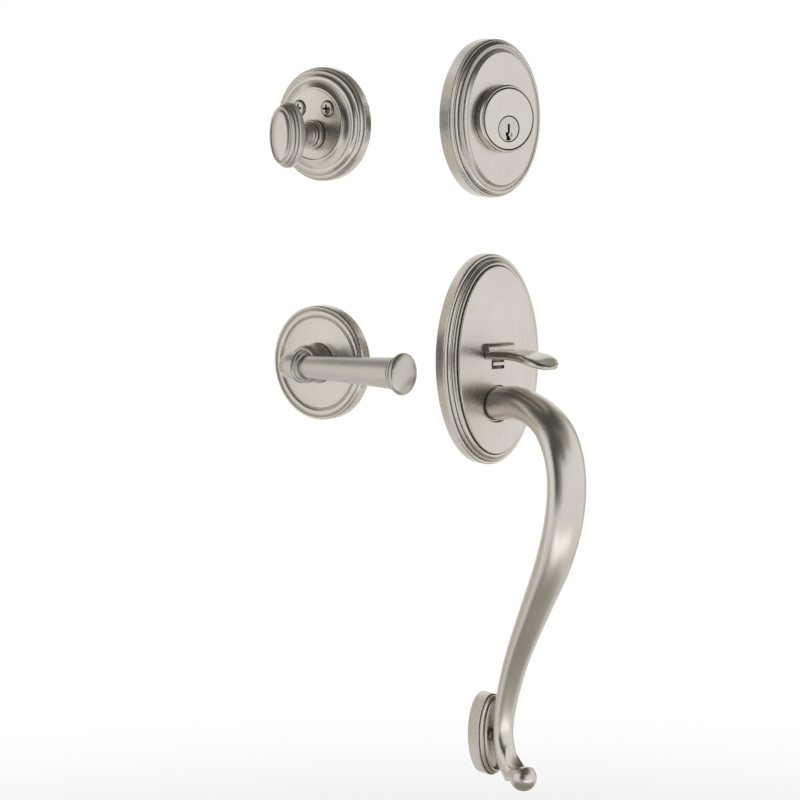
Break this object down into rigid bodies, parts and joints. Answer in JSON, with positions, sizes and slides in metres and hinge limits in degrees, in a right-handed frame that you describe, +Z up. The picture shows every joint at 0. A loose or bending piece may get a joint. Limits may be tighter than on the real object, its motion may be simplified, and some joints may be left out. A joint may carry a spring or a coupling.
{
  "type": "entry door handleset",
  "caption": "Entry door handleset: outside oval deadbolt plate and thumb latch plate with an S-shaped grip; inside oval thumbturn knob and straight lever on round roses.",
  "frame": {"origin": "centre of the outside grip plate's back, on the axis of the latch bore, in the plane of the door's outside face", "axes": "+Z up, -Y out of the door on the outside half, +X to the right as seen from outside; the inside half stands beside it, turned 73.4 degrees about Z, as in the picture"},
  "size_m": [0.1531, 0.1741, 0.4395],
  "materials": {
    "satin_nickel": "satin nickel, finely brushed",
    "zinc_steel": "zinc plated",
    "spring_steel": "oiled spring steel",
    "brass": "plain turned brass"
  },
  "bodies": {
    "set": {"base_screw": "zinc_steel", "base_spacer": "satin_nickel", "bracket_screw_left": "zinc_steel", "bracket_screw_right": "zinc_steel", "cylinder_body": "satin_nickel", "cylinder_collar": "satin_nickel", "deadbolt_plate": "satin_nickel", "deadbolt_post_left": "brass", "deadbolt_post_right": "brass", "deadbolt_support": "zinc_steel", "grip_handle": "satin_nickel", "grip_nut": "zinc_steel", "grip_plate": "satin_nickel", "grip_plate_post": "brass", "grip_stud": "zinc_steel", "grip_washer": "zinc_steel", "lever_mount_plate": "zinc_steel", "lever_rose": "satin_nickel", "lever_screw_bottom": "zinc_steel", "lever_screw_top": "zinc_steel", "lever_spring": "spring_steel", "lever_spring_cup": "zinc_steel", "lower_base": "satin_nickel", "thumb_bracket": "zinc_steel", "thumb_pin": "spring_steel", "thumb_pin_clip": "spring_steel", "thumb_spring": "spring_steel", "turn_backplate": "zinc_steel", "turn_rose": "satin_nickel", "turn_screw_left": "zinc_steel", "turn_screw_right": "zinc_steel"},
    "thumb": {"thumb_piece": "satin_nickel"},
    "lever": {"lever_handle": "satin_nickel", "lever_clip": "spring_steel", "lever_spindle": "zinc_steel"},
    "knob": {"turn_knob": "satin_nickel", "turn_clip": "spring_steel"},
    "plug": {"key_plug": "satin_nickel", "plug_clip": "spring_steel", "tailpiece": "zinc_steel"}
  },
  "joints": [
    {"name": "thumb_press", "type": "hinge", "parent": "set", "child": "thumb", "pos_m": [0, -0.0065, 0.0015], "axis": [1, 0, 0], "range_deg": [0, 12], "stiffness_Nm_per_rad": 0.15, "springref_deg": -28.65},
    {"name": "lever_turn", "type": "hinge", "parent": "set", "child": "lever", "pos_m": [-0.0756, 0.054, -0.002], "axis": [-0.9583, -0.2857, 0], "range_deg": [-45, 45], "stiffness_Nm_per_rad": 2},
    {"name": "knob_turn", "type": "hinge", "parent": "set", "child": "knob", "pos_m": [-0.07526, 0.05285, 0.132], "axis": [-0.9583, -0.2857, 0], "range_deg": [0, 90]},
    {"name": "key_turn", "type": "hinge", "parent": "set", "child": "plug", "pos_m": [0, 0, 0.1354], "axis": [0, -1, 0], "range_deg": [-90, 90]}
  ]
}
